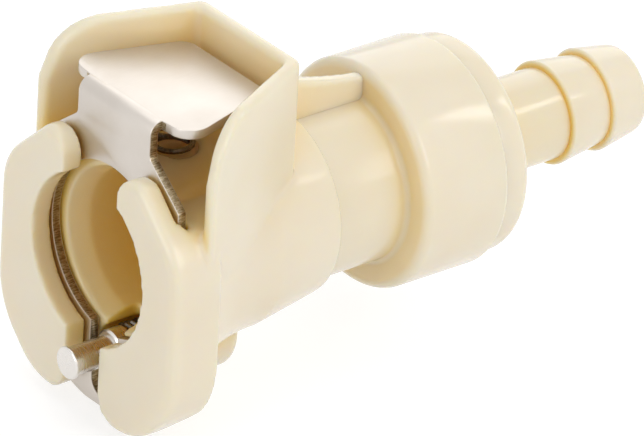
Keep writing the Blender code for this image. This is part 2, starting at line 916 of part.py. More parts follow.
def seals():
    seal_ring("poppet_seal", poppet_ring_place(), poppet_ring_radius, poppet_ring_wire_radius)
    groove_middle = seal_groove_start + seal_wire_radius + 0.2 * mm
    radius = counterbore_radius - seal_gap - seal_wire_radius
    seal_ring("barb_seal", groove_middle, radius, seal_wire_radius)


coupling_body()
hose_barb()
thumb_latch()
latch_pin()
valve_poppet()
seals()
springs()
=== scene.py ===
import math
import time

import bmesh
import bpy
from mathutils import Matrix, Vector


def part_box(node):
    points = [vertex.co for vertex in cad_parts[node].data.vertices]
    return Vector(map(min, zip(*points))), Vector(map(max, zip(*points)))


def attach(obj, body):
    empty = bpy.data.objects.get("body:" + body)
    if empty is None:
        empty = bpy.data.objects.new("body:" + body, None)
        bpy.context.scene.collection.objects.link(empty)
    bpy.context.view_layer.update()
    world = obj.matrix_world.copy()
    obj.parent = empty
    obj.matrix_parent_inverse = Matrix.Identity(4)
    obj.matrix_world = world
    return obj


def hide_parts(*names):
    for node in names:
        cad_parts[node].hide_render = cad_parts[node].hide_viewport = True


tiny = 1e-5
overshoot = 1.0  # how far a cutter reaches past what it cuts
started = time.time()
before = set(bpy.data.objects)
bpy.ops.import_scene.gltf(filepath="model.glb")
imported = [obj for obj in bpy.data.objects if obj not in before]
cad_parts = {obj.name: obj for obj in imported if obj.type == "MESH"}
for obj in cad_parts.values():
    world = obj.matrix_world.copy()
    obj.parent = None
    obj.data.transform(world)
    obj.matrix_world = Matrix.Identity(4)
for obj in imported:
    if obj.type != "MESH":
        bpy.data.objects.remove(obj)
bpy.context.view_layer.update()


def stamp(words):
    print("stage: %s at %.1f s" % (words, time.time() - started))


# Pieces are modelled in millimetres from the front face of the plate, on the coupling's axis,
# and set into the frame when they are finished.
pinDrop = 10.7  # from the coupling's axis down to the pin's
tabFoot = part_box("thumb_latch")[0].z
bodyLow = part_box("coupling_body")[0]
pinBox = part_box("latch_pin")
axisHeight = (pinBox[0].z + pinBox[1].z) / 2 + pinDrop * 0.001
intoFrame = Matrix.Translation((bodyLow.x, 0.0, axisHeight)) @ Matrix.Scale(0.001, 4)


def srgb(code):
    shades = []
    for start in (1, 3, 5):
        share = int(code[start:start + 2], 16) / 255
        shades.append(share / 12.92 if share <= 0.04045 else ((share + 0.055) / 1.055) ** 2.4)
    return (*shades, 1.0)


# Sets a node's inputs to plain values or links them to other nodes' sockets. An input goes by
# its label, with _ for a space, or by n and its number.
def feed(tree, node, **inputs):
    for name, value in inputs.items():
        inlet = node.inputs[int(name[1:]) if name.startswith("n") else name.replace("_", " ")]
        if isinstance(value, bpy.types.NodeSocket):
            tree.links.new(value, inlet)
        else:
            inlet.default_value = value
    return node


def addNode(tree, kind, settings=None, **inputs):
    node = tree.nodes.new(kind)
    for name, value in (settings or {}).items():
        setattr(node, name, value)
    return feed(tree, node, **inputs)


def newMaterial(name):
    made = bpy.data.materials.new(name)
    made.use_nodes = True
    tree = made.node_tree
    shader = tree.nodes["Principled BSDF"]
    return made, tree, shader


def objectPlace(tree, scale=(1.0, 1.0, 1.0)):
    place = addNode(tree, "ShaderNodeTexCoord").outputs["Object"]
    return addNode(tree, "ShaderNodeMapping", Vector=place, Scale=scale).outputs[0]


# A pattern's scale is how many of its spots go into a metre, so that 1500 makes them 0.7 mm.
def noise(tree, where, perMetre, detail=3.0, rough=0.5):
    made = addNode(
        tree, "ShaderNodeTexNoise", Vector=where, Scale=perMetre, Detail=detail, Roughness=rough,
    )
    return made.outputs[0]


def ramp(tree, value, low, high, lowTo=0.0, highTo=1.0):
    made = addNode(
        tree, "ShaderNodeMapRange", n0=value, n1=low, n2=high, n3=lowTo, n4=highTo,
    )
    return made.outputs[0]


def mixColor(tree, share, first, second):
    made = addNode(
        tree, "ShaderNodeMix", {"data_type": "RGBA"}, n0=share, n6=first, n7=second,
    )
    return made.outputs[2]


def bump(tree, height, strength, depth):
    made = addNode(tree, "ShaderNodeBump", Strength=strength, Distance=depth, Height=height)
    return made.outputs[0]


# Almond acetal, injection moulded and glossy: slight clouding, a faint skin texture from the tool,
# painted golden shade in the hollows, mixed in by occlusion where light has passed through plastic
# many times, and light that goes a few millimetres into the walls. The clouds are 11 mm across. The
# texture is drawn at 0.7 mm, coarser than it is, so that it shows.
def almondPlastic():
    made, tree, shader = newMaterial("acetalMouldedGloss")
    where = objectPlace(tree)
    cloud = ramp(tree, noise(tree, where, 90.0, detail=2.0), 0.35, 0.65)
    skin = noise(tree, where, 1500.0)
    face = mixColor(tree, cloud, srgb("#F3E8D2"), srgb("#F1E4CA"))
    hollowShadeOcclusion = addNode(
        tree, "ShaderNodeAmbientOcclusion", {"samples": 8, "only_local": True}, Distance=0.016,
    )
    clearOfPaintedShade = ramp(tree, hollowShadeOcclusion.outputs["AO"], 0.22, 0.97)
    # Painted shade: the golden colour is mixed into the base colour wherever occlusion finds a
    # hollow.
    feed(
        tree, shader, Base_Color=mixColor(tree, clearOfPaintedShade, srgb("#F3CB4C"), face),
        Roughness=ramp(tree, skin, 0.3, 0.7, 0.12, 0.18), Normal=bump(tree, skin, 0.02, 0.00005),
        IOR=1.48, Subsurface_Weight=0.45, Subsurface_Radius=(1.0, 0.78, 0.32),
        Subsurface_Scale=0.0022,
    )
    return made


# Stainless sheet, cold rolled: a fine grain along the coupling, a brushed, pale face, and on the
# edges that were sheared, torn marks in painted shade, dark brown. The grain is drawn 1.1 mm long
# and 0.08 mm wide, coarser than it is, and the marks are 0.8 mm by 0.15 mm.
def rolledStainless():
    made, tree, shader = newMaterial("stainlessSheetRolled")
    sheared = addNode(tree, "ShaderNodeAttribute", {"attribute_name": "sheared"}).outputs["Fac"]
    grain = noise(tree, objectPlace(tree, (1.0, 14.0, 14.0)), 900.0, detail=5.0, rough=0.6)
    broad = ramp(tree, noise(tree, objectPlace(tree), 160.0), 0.3, 0.7)
    tears = noise(tree, objectPlace(tree, (1.0, 5.0, 5.0)), 1300.0, detail=4.0, rough=0.7)
    face = mixColor(tree, broad, srgb("#D3CCC4"), srgb("#CAC2B9"))
    # Painted shade: the sheared faces are drawn dark brown, with the torn streaks in them.
    tornAndShadedColour = mixColor(tree, ramp(tree, tears, 0.42, 0.6), srgb("#85765C"), srgb("#C4B79D"))
    feed(
        tree, shader, Base_Color=mixColor(tree, sheared, face, tornAndShadedColour), Metallic=1.0,
        Roughness=ramp(tree, grain, 0.3, 0.7, 0.34, 0.46), Normal=bump(tree, grain, 0.25, 0.00002),
    )
    return made


# Steel pin, turned on a lathe and tumbled: fine rings round it, 0.09 mm apart.
def turnedSteel():
    made, tree, shader = newMaterial("pinSteelTurned")
    rings = noise(tree, objectPlace(tree, (22.0, 1.0, 1.0)), 500.0, detail=4.0, rough=0.6)
    feed(
        tree, shader, Base_Color=srgb("#DEDAD5"), Metallic=1.0,
        Roughness=ramp(tree, rings, 0.3, 0.7, 0.22, 0.36), Normal=bump(tree, rings, 0.2, 0.00002),
    )
    return made


# Spring wire, drawn steel with darker drawing oil left in its grain, which is made 0.25 mm
# coarse so that it shows.
def drawnWire():
    made, tree, shader = newMaterial("springWireDrawn")
    grain = noise(tree, objectPlace(tree), 4000.0)
    oil = ramp(tree, grain, 0.3, 0.7)
    feed(
        tree, shader, Base_Color=mixColor(tree, oil, srgb("#8F8A82"), srgb("#6E6860")),
        Metallic=1.0, Roughness=ramp(tree, grain, 0.3, 0.7, 0.25, 0.4),
    )
    return made


# Seal rubber, moulded, black and matt, with a faint bloom in spots of 0.7 mm.
def sealRubber():
    made, tree, shader = newMaterial("sealRubberMoulded")
    bloom = noise(tree, objectPlace(tree), 1500.0, detail=4.0)
    dusty = ramp(tree, bloom, 0.4, 0.7)
    feed(
        tree, shader, Base_Color=mixColor(tree, dusty, srgb("#1C1B1A"), srgb("#2A2927")),
        Roughness=ramp(tree, bloom, 0.3, 0.7, 0.45, 0.6),
    )
    return made


# Valve plastic, turned acetal, duller than the housing's, in patches of 0.6 mm.
def valvePlastic():
    made, tree, shader = newMaterial("acetalTurnedSatin")
    skin = noise(tree, objectPlace(tree), 1800.0)
    patches = ramp(tree, skin, 0.3, 0.7)
    feed(
        tree, shader, Base_Color=mixColor(tree, patches, srgb("#DFD3BC"), srgb("#D6C9AF")),
        Roughness=ramp(tree, skin, 0.3, 0.7, 0.32, 0.42), Subsurface_Weight=0.2,
        Subsurface_Scale=0.002,
    )
    return made


plastic = almondPlastic()
stainless = rolledStainless()
pinSteel = turnedSteel()
springSteel = drawnWire()
rubber = sealRubber()
valveMaterial = valvePlastic()
stamp("materials")


# Outlines and solids

def rounded(corners, step=math.radians(5)):
    points = []
    count = len(corners)
    for index, (u, v, radius) in enumerate(corners):
        here = Vector((u, v))
        if radius == 0:
            points.append(here)
            continue
        back = (Vector(corners[index - 1][:2]) - here).normalized()
        ahead = (Vector(corners[(index + 1) % count][:2]) - here).normalized()
        half = back.angle(ahead) / 2
        reach = radius / math.tan(half)
        centre = here + (back + ahead).normalized() * radius / math.sin(half)
        first = here + back * reach - centre
        last = here + ahead * reach - centre
        turn = first.angle_signed(last)
        steps = max(2, math.ceil(abs(turn) / step))
        for number in range(steps + 1):
            points.append(centre + Matrix.Rotation(-turn * number / steps, 2) @ first)
    return points


def arc(centre, radius, start, end, steps):
    points = []
    for number in range(steps + 1):
        angle = start + (end - start) * number / steps
        across = centre[0] + radius * math.cos(angle)
        points.append(Vector((across, centre[1] + radius * math.sin(angle))))
    return points


def onYz(u, v, depth):
    return (depth, u, v)


def onXz(u, v, depth):
    return (u, depth, v)


def onXy(u, v, depth):
    return (u, v, depth)


def prism(bm, outline, plane, start, end):
    ring = [bm.verts.new(plane(point[0], point[1], start)) for point in outline]
    face = bm.faces.new(ring)
    grown = bmesh.ops.extrude_face_region(bm, geom=[face])
    moved = [item for item in grown["geom"] if isinstance(item, bmesh.types.BMVert)]
    shift = Vector(plane(0.0, 0.0, end)) - Vector(plane(0.0, 0.0, start))
    bmesh.ops.translate(bm, verts=moved, vec=shift)


def turn(bm, profile, closed=False, steps=160):
    verts = [bm.verts.new((x, radius, 0.0)) for x, radius in profile]
    edges = [bm.edges.new(pair) for pair in zip(verts, verts[1:])]
    if closed:
        edges.append(bm.edges.new((verts[-1], verts[0])))
    bmesh.ops.spin(
        bm, geom=verts + edges, cent=(0.0, 0.0, 0.0), axis=(1.0, 0.0, 0.0),
        angle=math.tau, steps=steps, use_merge=True,
    )
    bmesh.ops.remove_doubles(bm, verts=bm.verts, dist=tiny)


def outward(bm):
    bmesh.ops.recalc_face_normals(bm, faces=bm.faces)
    if bm.calc_volume(signed=True) < 0:
        bmesh.ops.reverse_faces(bm, faces=bm.faces)


def toolFrom(bm, name, shift=(0.0, 0.0, 0.0)):
    outward(bm)
    bmesh.ops.translate(bm, verts=bm.verts, vec=shift)
    mesh = bpy.data.meshes.new(name)
    bm.to_mesh(mesh)
    bm.free()
    tool = bpy.data.objects.new(name, mesh)
    bpy.context.collection.objects.link(tool)
    return tool


def prismTool(name, outline, plane, start, end):
    bm = bmesh.new()
    prism(bm, outline, plane, start, end)
    return toolFrom(bm, name)


def turnedTool(name, profile, closed=False, steps=160, shift=(0.0, 0.0, 0.0)):
    bm = bmesh.new()
    turn(bm, [tuple(point) for point in profile], closed, steps)
    return toolFrom(bm, name, shift)


def combine(target, tool, operation):
    step = target.modifiers.new(tool.name, "BOOLEAN")
    step.operation = operation
    step.solver = "EXACT"
    step.object = tool


# Reads what a tool's modifiers make of it, and removes the tools.
def evaluated(tool, used=()):
    bpy.context.view_layer.update()
    graph = bpy.context.evaluated_depsgraph_get()
    mesh = bpy.data.meshes.new_from_object(tool.evaluated_get(graph))
    for thing in [tool, *used]:
        bpy.data.objects.remove(thing, do_unlink=True)
    return mesh


# Sets a finished mesh into the frame as the piece that stands for the named nodes.
def dress(name, mesh, surface, body, nodes, sharp):
    mesh.transform(intoFrame)
    mesh.materials.clear()
    mesh.materials.append(surface)
    mesh.shade_smooth()
    if sharp:
        mesh.set_sharp_from_angle(angle=math.radians(sharp))
    mesh.name = name
    piece = bpy.data.objects.new(name, mesh)
    bpy.context.collection.objects.link(piece)
    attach(piece, body)
    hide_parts(*nodes)
    print("   %s has %d faces" % (name, len(mesh.polygons)))
    return piece


# Socket: plate, barrel flare, thumb guard, rib and pin housing, moulded as one with small fillets.
# stepRounding holds how far each point lies in front of the step and beyond its radius.
# windowHalf and windowFoot are shares of the chamber's radius.
socket = {
    "plateHalfWidth": 14.1, "plateBottom": 16.3, "plateDepth": 5.5, "edgeRadius": 1.0,
    "lobeTop": 11.3, "lobeFlatEnd": 7.6, "lobeCorner": 1.6, "shoulderHeight": 5.3,
    "shoulderRadius": 6.2, "sideFoot": 10.6, "lowerCorner": 9.0, "lowerFlatEnd": 8.1,
    "lowerFlatRadius": 7.0, "heelRise": 3.7, "heelReach": 15.0,
    "mouthRadius": 8.7, "mouthEnd": 3.1, "topSlot": 4.2, "topSlotCorner": 2.4,
    "bottomSlot": 2.6, "bottomSlotCorner": 3.4,
    "frontWall": 2.3, "slotEnd": 3.9, "slotTop": 21.0, "slotHalfWidth": 10.8, "slotSide": 8.5,
    "slotFoot": 7.9, "slotFootRadius": 17.3,
    "boreRadius": 7.6, "rimRadius": 8.5, "rimDepth": 2.3, "boreEnd": 22.6, "boreChamfer": 1.4,
    "portRadius": 4.6, "innerEnd": 24.5, "cutLead": 0.2,
    "flareInset": 0.2, "flareEdge": 0.35, "flareStart": 5.2, "flareRadius": 13.85,
    "flareLength": 10.4, "frontRadius": 10.9, "stepRadius": 9.6, "step": 23.8,
    "stepRounding": ((0.6, 0.1), (0.25, -0.05), (0.0, -0.35)),
    "chamberDrop": 11.05, "chamber": 2.65, "chamberEnd": 7.9, "springRoom": 2.5,
    "springEnd": 12.6, "windowHalf": 0.5, "windowFoot": 0.6, "windowRise": 1.0,
    "windowLead": 0.3, "windowInset": 0.2,
    "bossDrop": 11.4, "boss": 4.2, "bossInset": 0.3, "bossEnd": 17.2, "bossNose": 2.1,
    "wellRadius": 9.9, "wellFloor": 7.5, "pocketRadius": 2.425, "pocketFloor": 8.9,
    "pocketPlace": 10.0, "pocketDepth": 11.0,
    "voxel": 0.27, "relax": 0.5, "relaxPasses": 4,
}

guard = {
    "back": 19.0, "backHalfWidth": 7.6, "top": 19.7, "flare": math.radians(23.4),
    "drop": math.radians(3.4), "wall": 1.4, "corner": 1.0, "innerCorner": 0.9, "brow": 7.3,
    "browLead": 1.6, "browDrop": 0.2, "foot": 5.4, "frontRadius": 5.6, "frontDrop": 7.5,
    "frontLean": 0.35, "frontStep": math.radians(3), "sideReach": 30.0,
    "rim": 0.5, "rimSegments": 4, "rimAngle": math.radians(50),
}

rib = {"thickness": 1.5, "start": 18.1, "end": 32.8, "heights": (15.4, 11.8, 11.0), "foot": 7.45}


def plateTool():
    corners = [
        (socket["lowerFlatEnd"], -socket["plateBottom"], socket["lowerFlatRadius"]),
        (socket["plateHalfWidth"], -socket["sideFoot"], socket["lowerCorner"]),
        (socket["plateHalfWidth"], socket["shoulderHeight"], socket["shoulderRadius"]),
        (socket["lobeFlatEnd"], socket["lobeTop"], socket["lobeCorner"]),
    ]
    corners += [(-y, z, radius) for y, z, radius in reversed(corners)]
    bm = bmesh.new()
    prism(bm, rounded(corners), onYz, 0.0, socket["plateDepth"])
    edges = [edge for edge in bm.edges if max(abs(vert.co.x) for vert in edge.verts) < tiny]
    bmesh.ops.bevel(
        bm, geom=edges, offset=socket["edgeRadius"], offset_type="OFFSET", segments=6, profile=0.5,
        affect="EDGES", clamp_overlap=True, material=-1,
    )
    block = toolFrom(bm, "plateTool")
    heel = heelTool()
    combine(block, heel, "DIFFERENCE")
    return block, [heel]


# The plate's underside slopes up towards its back.
def heelTool():
    low = -socket["plateBottom"]
    first = socket["edgeRadius"] - overshoot
    last = socket["plateDepth"] + overshoot
    slope = socket["heelRise"] / (socket["plateDepth"] - socket["edgeRadius"])
    outline = [
        (first, low - slope), (last, low + socket["heelRise"] + slope),
        (last, 2 * low), (first, 2 * low),
    ]
    return prismTool("heelTool", outline, onXz, -socket["heelReach"], socket["heelReach"])


# One side of a slot in the plate, from the mouth out to the plate's edge, where a rounded
# corner opens it.
def slotSide(halfWidth, edge, corner, turnAngle=math.radians(74), steps=14):
    centre = (halfWidth + corner, edge - corner)
    points = arc(centre, corner, math.pi, math.pi - turnAngle, steps)
    across, height = points[-1]
    across += corner * math.sin(turnAngle)
    points.append(Vector((across, height + corner * math.cos(turnAngle))))
    points.append(Vector((across, edge + 2 * corner)))
    return points


def mouthTool():
    radius = socket["mouthRadius"]
    slotTop = math.asin(socket["topSlot"] / radius)
    slotBottom = math.asin(socket["bottomSlot"] / radius)
    side = arc((0.0, 0.0), radius, math.pi / 2 - slotTop, slotBottom - math.pi / 2, 64)
    above = slotSide(socket["topSlot"], socket["lobeTop"], socket["topSlotCorner"])
    below = slotSide(socket["bottomSlot"], socket["plateBottom"], socket["bottomSlotCorner"])
    right = list(reversed(above)) + side + [Vector((y, -z)) for y, z in below]
    left = [Vector((-y, z)) for y, z in reversed(right)]
    return prismTool("mouthTool", right + left, onYz, -overshoot, socket["mouthEnd"])


def barrelProfile():
    inside = socket["slotEnd"] + socket["flareInset"]
    flared = socket["flareRadius"] - socket["frontRadius"]
    steps = 24
    profile = [(inside, 0.0), (inside, socket["flareRadius"] - socket["flareEdge"])]
    for number in range(steps + 1):
        share = number / steps
        radius = socket["frontRadius"] + flared * (1 - share) ** 2
        profile.append((socket["flareStart"] + socket["flareLength"] * share, radius))
    for back, rise in socket["stepRounding"]:
        profile.append((socket["step"] - back, socket["stepRadius"] + rise))
    profile.append((socket["step"], 0.0))
    return profile


# Half widths between the guard's flared walls at two depths, inset from their outer faces.
def guardSide(inset, back, front):
    slope = math.tan(guard["flare"])
    rear = guard["backHalfWidth"] - inset / math.cos(guard["flare"])
    rear += (guard["back"] - back) * slope
    return rear, rear + (back - front) * slope


def guardTool():
    front = socket["slotEnd"]
    outerRear, outerFront = guardSide(0.0, guard["back"], front)
    innerBack = guard["back"] - guard["wall"]
    innerRear, innerFront = guardSide(guard["wall"], innerBack, front)
    innerCorner = guard["innerCorner"]
    plan = rounded([
        (front, outerFront, 0.0),
        (front, innerFront, 0.0),
        (innerBack, innerRear, innerCorner),
        (innerBack, -innerRear, innerCorner),
        (front, -innerFront, 0.0),
        (front, -outerFront, 0.0),
        (guard["back"], -outerRear, guard["corner"]),
        (guard["back"], outerRear, guard["corner"]),
    ])
    walls = prismTool("guardTool", plan, onXy, 0.0, guard["top"] + overshoot)
    browHeight = guard["top"] - (guard["back"] - guard["brow"]) * math.tan(guard["drop"])
    side = rounded([
        (front - overshoot, -overshoot, 0.0),
        (guard["back"] + overshoot, -overshoot, 0.0),
        (guard["back"] + overshoot, guard["top"], 0.0),
        (guard["brow"] - guard["browLead"], browHeight - guard["browDrop"], guard["frontRadius"]),
        (front - guard["frontLean"], browHeight - guard["frontDrop"], guard["frontRadius"]),
        (front - overshoot, guard["foot"], 0.0),
    ], guard["frontStep"])
    keep = prismTool("guardSideTool", side, onXz, -guard["sideReach"], guard["sideReach"])
    combine(walls, keep, "INTERSECT")
    rim = walls.modifiers.new("rim", "BEVEL")
    rim.width = guard["rim"]
    rim.segments = guard["rimSegments"]
    rim.limit_method = "ANGLE"
    rim.angle_limit = guard["rimAngle"]
    rim.use_clamp_overlap = False
    return walls, [keep]


# Clears the well between the guard's walls, down to the top of the bore's barrel.
def wellTool():
    front = socket["slotEnd"] - overshoot
    innerBack = guard["back"] - guard["wall"]
    innerRear, innerFront = guardSide(guard["wall"], innerBack, front)
    innerCorner = guard["innerCorner"]
    plan = rounded([
        (front, innerFront, 0.0),
        (innerBack, innerRear, innerCorner),
        (innerBack, -innerRear, innerCorner),
        (front, -innerFront, 0.0),
    ])
    tool = prismTool("wellTool", plan, onXy, socket["wellFloor"], guard["top"] + overshoot)
    first = front - overshoot
    last = guard["back"]
    radius = socket["wellRadius"]
    floorProfile = [(first, 0.0), (first, radius), (last, radius), (last, 0.0)]
    floor = turnedTool("wellFloorTool", floorProfile)
    combine(tool, floor, "DIFFERENCE")
    return tool, [floor]


def ribTool():
    steps = 24
    first, middle, last = rib["heights"]
    top = []
    for number in range(steps + 1):
        share = number / steps
        height = (1 - share) ** 2 * first + 2 * share * (1 - share) * middle + share ** 2 * last
        top.append((rib["start"] + (rib["end"] - rib["start"]) * share, height))
    outline = [(rib["start"], rib["foot"])] + top + [(rib["end"], rib["foot"])]
    return prismTool("ribTool", outline, onXz, -rib["thickness"] / 2, rib["thickness"] / 2)


def bossTool():
    nose = socket["bossNose"]
    start = socket["slotEnd"] + socket["bossInset"]
    steps = 12
    profile = [(start, 0.0), (start, socket["boss"])]
    for number in range(steps):
        angle = math.pi / 2 * number / steps
        along = socket["bossEnd"] - nose + nose * math.sin(angle)
        profile.append((along, socket["boss"] * math.cos(angle)))
    profile.append((socket["bossEnd"], 0.0))
    return turnedTool("bossTool", profile, steps=96, shift=(0.0, 0.0, -socket["bossDrop"]))


def boreTool():
    start = socket["slotEnd"] - socket["cutLead"]
    rimEnd = socket["slotEnd"] + socket["rimDepth"]
    radius = socket["boreRadius"]
    chamfer = socket["boreChamfer"]
    profile = [
        (start, 0.0), (start, socket["rimRadius"]), (rimEnd, radius),
        (socket["boreEnd"] - chamfer, radius), (socket["boreEnd"], radius - chamfer),
        (socket["boreEnd"], socket["portRadius"]), (socket["innerEnd"], socket["portRadius"]),
        (socket["innerEnd"], 0.0),
    ]
    return turnedTool("boreTool", profile)


def pinPocketTool():
    start = socket["slotEnd"] - socket["cutLead"]
    profile = [
        (start, 0.0), (start, socket["chamber"]), (socket["chamberEnd"], socket["chamber"]),
        (socket["chamberEnd"], socket["springRoom"]), (socket["springEnd"], socket["springRoom"]),
        (socket["springEnd"], 0.0),
    ]
    shift = (0.0, 0.0, -socket["chamberDrop"])
    return turnedTool("pinPocketTool", profile, steps=72, shift=shift)


# Opens the pin's chamber to the bore.
def pinWindowTool():
    half = socket["chamber"] * socket["windowHalf"]
    low = -socket["chamberDrop"] + socket["chamber"] * socket["windowFoot"]
    high = -socket["boreRadius"] + socket["windowRise"]
    outline = [(-half, low), (half, low), (half, high), (-half, high)]
    first = socket["slotEnd"] - socket["windowLead"]
    last = socket["chamberEnd"] - socket["windowInset"]
    return prismTool("pinWindowTool", outline, onYz, first, last)


# The latch's slot is open above, and below it only lets the tab out in the middle.
def latchSlotTool():
    half = socket["slotHalfWidth"]
    radius = socket["slotFootRadius"]
    footAngle = math.asin(socket["slotFoot"] / radius)
    below = -math.pi / 2
    outline = [(-half, socket["slotTop"]), (-half, -socket["slotSide"])]
    outline += arc((0.0, 0.0), radius, below - footAngle, below + footAngle, 24)
    outline += [(half, -socket["slotSide"]), (half, socket["slotTop"])]
    return prismTool("latchSlotTool", outline, onYz, socket["frontWall"], socket["slotEnd"])


def springPocketTool():
    bm = bmesh.new()
    segments = 64
    radius = socket["pocketRadius"]
    depth = socket["pocketDepth"]
    turned = Matrix.Rotation(math.pi / segments, 4, "Z")
    place = Matrix.Translation((socket["pocketPlace"], 0.0, socket["pocketFloor"] + depth / 2))
    bmesh.ops.create_cone(
        bm, cap_ends=True, segments=segments, radius1=radius, radius2=radius, depth=depth,
        matrix=place @ turned,
    )
    return toolFrom(bm, "springPocketTool")


# The joined solids are remeshed and relaxed, which rounds every edge and root a little, as a
# mould does.
def buildSocket():
    shell = turnedTool("socketShell", barrelProfile())
    used = []
    block, more = plateTool()
    used += [block, *more]
    walls, more = guardTool()
    used += [walls, *more]
    well, more = wellTool()
    used += [well, *more]
    joined = [block, walls, ribTool(), bossTool()]
    removed = [
        well, boreTool(), mouthTool(), latchSlotTool(), pinPocketTool(), pinWindowTool(),
        springPocketTool(),
    ]
    for tool in joined:
        combine(shell, tool, "UNION")
    for tool in removed:
        combine(shell, tool, "DIFFERENCE")
    used += [tool for tool in joined + removed if tool not in used]
    skin = shell.modifiers.new("skin", "REMESH")
    skin.mode = "VOXEL"
    skin.voxel_size = socket["voxel"]
    skin.use_smooth_shade = True
    relax = shell.modifiers.new("relax", "SMOOTH")
    relax.factor = socket["relax"]
    relax.iterations = socket["relaxPasses"]
    mesh = evaluated(shell, used)
    return dress("socketShell", mesh, plastic, "housing", ["coupling_body"], 0)


buildSocket()
stamp("socket")


# Collar: the rear barrel and the wide collar, turned, with the valve chamber inside.

collar = {
    "barrelStart": 23.4, "barrelRadius": 8.65, "stepRounding": 0.6, "start": 32.4, "end": 42.5,
    "radius": 11.7, "frontRounding": 1.0, "rearRounding": 0.4, "portRadius": 4.6,
    "seatStart": 24.2, "chamber": 6.7, "counterboreStart": 33.4, "counterbore": 9.0,
    "mouthDepth": 0.5, "mouthRise": 0.7,
}


def buildCollar():
    start, end, counterbore = collar["start"], collar["end"], collar["counterbore"]
    step, front, rear = collar["stepRounding"], collar["frontRounding"], collar["rearRounding"]
    rise = collar["chamber"] - collar["portRadius"]
    quarter = math.pi / 2
    profile = [
        (collar["barrelStart"], collar["portRadius"]),
        (collar["barrelStart"], collar["barrelRadius"]),
    ]
    profile += arc((start - step, collar["barrelRadius"] + step), step, 3 * quarter, 4 * quarter, 5)
    profile += arc((start + front, collar["radius"] - front), front, 2 * quarter, quarter, 12)
    profile += arc((end - rear, collar["radius"] - rear), rear, quarter, 0.0, 6)
    profile += [
        (end, counterbore + collar["mouthRise"]), (end - collar["mouthDepth"], counterbore),
        (collar["counterboreStart"], counterbore),
        (collar["counterboreStart"], collar["chamber"]),
        (collar["seatStart"] + rise, collar["chamber"]),
        (collar["seatStart"], collar["portRadius"]),
    ]
    mesh = evaluated(turnedTool("collarShell", profile, closed=True, steps=192))
    return dress("collarShell", mesh, plastic, "housing", ["coupling_body"], 35)


buildCollar()
stamp("collar")


# Hose barb: flange, neck and two rings, with its spigot and the valve guide inside.

barb = {
    "start": 33.7, "spigot": 8.7, "spigotBore": 6.5, "spigotChamfer": 0.5, "groove": (37.0, 39.1),
    "grooveDepth": 1.5, "seat": 42.6, "flange": 11.1, "flangeEdge": 0.25, "flangeEnd": 45.8,
    "flangeRounding": 1.1, "neck": 4.7, "fillet": 0.8, "firstRing": 55.9, "firstRadius": 5.3,
    "firstRoot": 4.65, "secondRing": 61.1, "secondRadius": 5.25, "ringRounding": 0.35,
    "ringEnd": math.radians(84), "tip": 66.1, "tipRadius": 4.6, "tipRounding": 0.9,
    "tipEnd": math.radians(8), "flow": 3.1, "flowEdge": 0.1, "boreEnd": 41.5, "boreTaper": 1.2,
    "hub": (36.0, 39.4), "hubInner": 2.25, "hubOuter": 4.6, "arms": 3, "arm": 1.2,
    "armStart": 3.4, "armInto": 0.6, "armInset": 0.4,
}


def ringProfile(start, radius):
    rounding = barb["ringRounding"]
    return arc((start + rounding, radius - rounding), rounding, math.pi, barb["ringEnd"], 10)


def barbProfile():
    start, spigot, seat = barb["start"], barb["spigot"], barb["seat"]
    groove, grooveEnd = barb["groove"]
    floor = spigot - barb["grooveDepth"]
    chamfer, edge = barb["spigotChamfer"], barb["flangeEdge"]
    rounding, fillet = barb["flangeRounding"], barb["fillet"]
    tipRounding = barb["tipRounding"]
    tip, flow = barb["tip"], barb["flow"]
    quarter = math.pi / 2
    profile = [
        (start, barb["spigotBore"]), (start, spigot - chamfer), (start + chamfer, spigot),
        (groove, spigot), (groove, floor), (grooveEnd, floor), (grooveEnd, spigot), (seat, spigot),
    ]
    profile += arc((seat + edge, barb["flange"] - edge), edge, 2 * quarter, quarter, 5)
    corner = (barb["flangeEnd"] - rounding, barb["flange"] - rounding)
    profile += arc(corner, rounding, quarter, 0.0, 14)
    foot = (barb["flangeEnd"] + fillet, barb["neck"] + fillet)
    profile += arc(foot, fillet, 2 * quarter, 3 * quarter, 10)
    profile.append((barb["firstRing"], barb["neck"]))
    profile += ringProfile(barb["firstRing"], barb["firstRadius"])
    profile.append((barb["secondRing"], barb["firstRoot"]))
    profile += ringProfile(barb["secondRing"], barb["secondRadius"])
    end = (tip - tipRounding, barb["tipRadius"] - tipRounding)
    profile += arc(end, tipRounding, barb["ringEnd"], barb["tipEnd"], 12)
    return profile + [
        (tip, flow + barb["flowEdge"]), (tip - barb["flowEdge"], flow),
        (barb["boreEnd"] + barb["boreTaper"], flow), (barb["boreEnd"], barb["spigotBore"]),
    ]


# The valve's guide: a hub on three arms inside the spigot.
def guideTools():
    first, last = barb["hub"]
    inner, outer = barb["hubInner"], barb["hubOuter"]
    hubRing = [(first, inner), (first, outer), (last, outer), (last, inner)]
    tools = [turnedTool("hubTool", hubRing, closed=True, steps=72)]
    half = barb["arm"] / 2
    low, high = barb["armStart"], barb["spigotBore"] + barb["armInto"]
    for number in range(barb["arms"]):
        bm = bmesh.new()
        outline = [(-half, low), (half, low), (half, high), (-half, high)]
        prism(bm, outline, onYz, first + barb["armInset"], last - barb["armInset"])
        turned = Matrix.Rotation(math.tau * number / barb["arms"], 3, "X")
        bmesh.ops.rotate(bm, verts=bm.verts, cent=(0, 0, 0), matrix=turned)
        tools.append(toolFrom(bm, "armTool%d" % number))
    return tools


def buildBarb():
    shell = turnedTool("barbShell", barbProfile(), closed=True, steps=144)
    tools = guideTools()
    for tool in tools:
        combine(shell, tool, "UNION")
    mesh = evaluated(shell, tools)
    return dress("barbShell", mesh, plastic, "housing", ["hose_barb"], 35)


buildBarb()
stamp("hose barb")


# Latch: the sheet with its locking hole and keyhole, bent over into the thumb pad.

